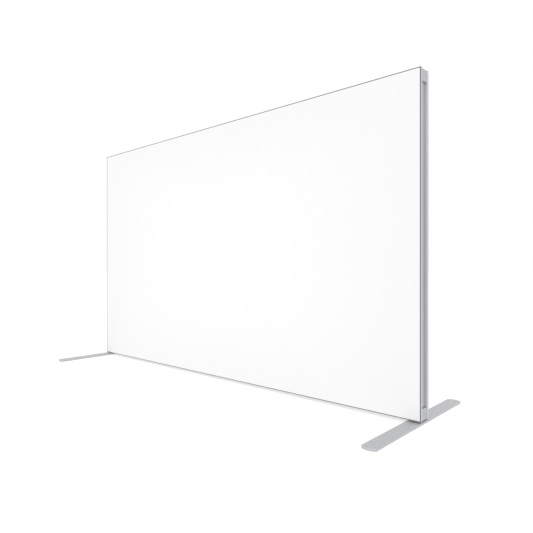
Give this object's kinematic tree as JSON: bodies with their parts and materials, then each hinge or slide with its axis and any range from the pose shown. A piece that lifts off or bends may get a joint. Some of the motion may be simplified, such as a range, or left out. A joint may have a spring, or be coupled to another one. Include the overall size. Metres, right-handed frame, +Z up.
{
  "type": "partition wall",
  "caption": "Free-standing backlit wall: a slim aluminium frame with stretched white fabric on both sides, standing on flat plate feet that swivel.",
  "frame": {"origin": "on the ground under the centre of the wall", "axes": "+X along the wall to its right end, -Y out of the front face, +Z up"},
  "size_m": [4.04, 1.36, 2.424],
  "materials": {
    "anodised_frame": "satin silver anodised extrusion",
    "corner_casting": "fine-blasted cast aluminium",
    "plated_steel": "zinc-plated",
    "silver_coat": "satin silver-grey powder coat",
    "white_fabric": "matt knitted polyester, translucent",
    "silicone": "black silicone, satin",
    "white_enamel": "white-coated aluminium",
    "lens_plastic": "clear to milky",
    "wire_jacket": "matt PVC",
    "black_plastic": "moulded, lightly textured",
    "nickel_pins": "bright nickel plate",
    "black_rubber": "matt",
    "grey_nylon": "turned nylon"
  },
  "bodies": {
    "wall": {"left_front_stile": "anodised_frame", "left_rear_stile": "anodised_frame", "right_front_stile": "anodised_frame", "right_rear_stile": "anodised_frame", "top_front_rail_left": "anodised_frame", "top_front_rail_right": "anodised_frame", "top_rear_rail_left": "anodised_frame", "top_rear_rail_right": "anodised_frame", "bottom_front_rail_left": "anodised_frame", "bottom_front_rail_right": "anodised_frame", "bottom_rear_rail_left": "anodised_frame", "bottom_rear_rail_right": "anodised_frame", "left_web": "anodised_frame", "right_web": "anodised_frame", "top_webs": "anodised_frame", "bottom_webs": "anodised_frame", "corner_plate_top_left": "corner_casting", "corner_plate_top_right": "corner_casting", "corner_plate_bottom_left": "corner_casting", "corner_plate_bottom_right": "corner_casting", "corner_keys_top_left": "plated_steel", "corner_keys_top_right": "plated_steel", "corner_keys_bottom_left": "plated_steel", "corner_keys_bottom_right": "plated_steel", "corner_screws": "plated_steel", "top_splice_bars": "plated_steel", "bottom_splice_bars": "plated_steel", "splice_screws": "plated_steel", "centre_post": "anodised_frame", "post_bracket_top": "corner_casting", "post_bracket_bottom": "corner_casting", "post_screws": "plated_steel", "front_fabric": "white_fabric", "rear_fabric": "white_fabric", "front_silicone_edge": "silicone", "rear_silicone_edge": "silicone", "led_tray_top": "white_enamel", "led_tray_bottom": "white_enamel", "led_bars": "white_enamel", "led_lenses": "lens_plastic", "led_driver": "white_enamel", "driver_screws": "plated_steel", "mains_wire": "wire_jacket", "led_harness": "wire_jacket", "inlet_housing": "black_plastic", "inlet_pins": "nickel_pins", "inlet_screws": "plated_steel", "left_swivel_disc": "grey_nylon", "right_swivel_disc": "grey_nylon", "left_pivot_bolt": "plated_steel", "right_pivot_bolt": "plated_steel"},
    "left_foot": {"left_foot_plate": "silver_coat", "left_foot_pads": "black_rubber"},
    "right_foot": {"right_foot_plate": "silver_coat", "right_foot_pads": "black_rubber"},
    "rocker": {"power_rocker": "black_plastic"}
  },
  "joints": [
    {"name": "left_foot_swivel", "type": "hinge", "parent": "wall", "child": "left_foot", "pos_m": [-1.97, 0, 0.01], "axis": [0, 0, 1], "range_deg": [-90, 90]},
    {"name": "right_foot_swivel", "type": "hinge", "parent": "wall", "child": "right_foot", "pos_m": [1.97, 0, 0.01], "axis": [0, 0, 1], "range_deg": [-90, 90]},
    {"name": "power_rocker_tilt", "type": "hinge", "parent": "wall", "child": "rocker", "pos_m": [-2.004, 0, 0.206], "axis": [0, 1, 0], "range_deg": [0, 16]}
  ]
}
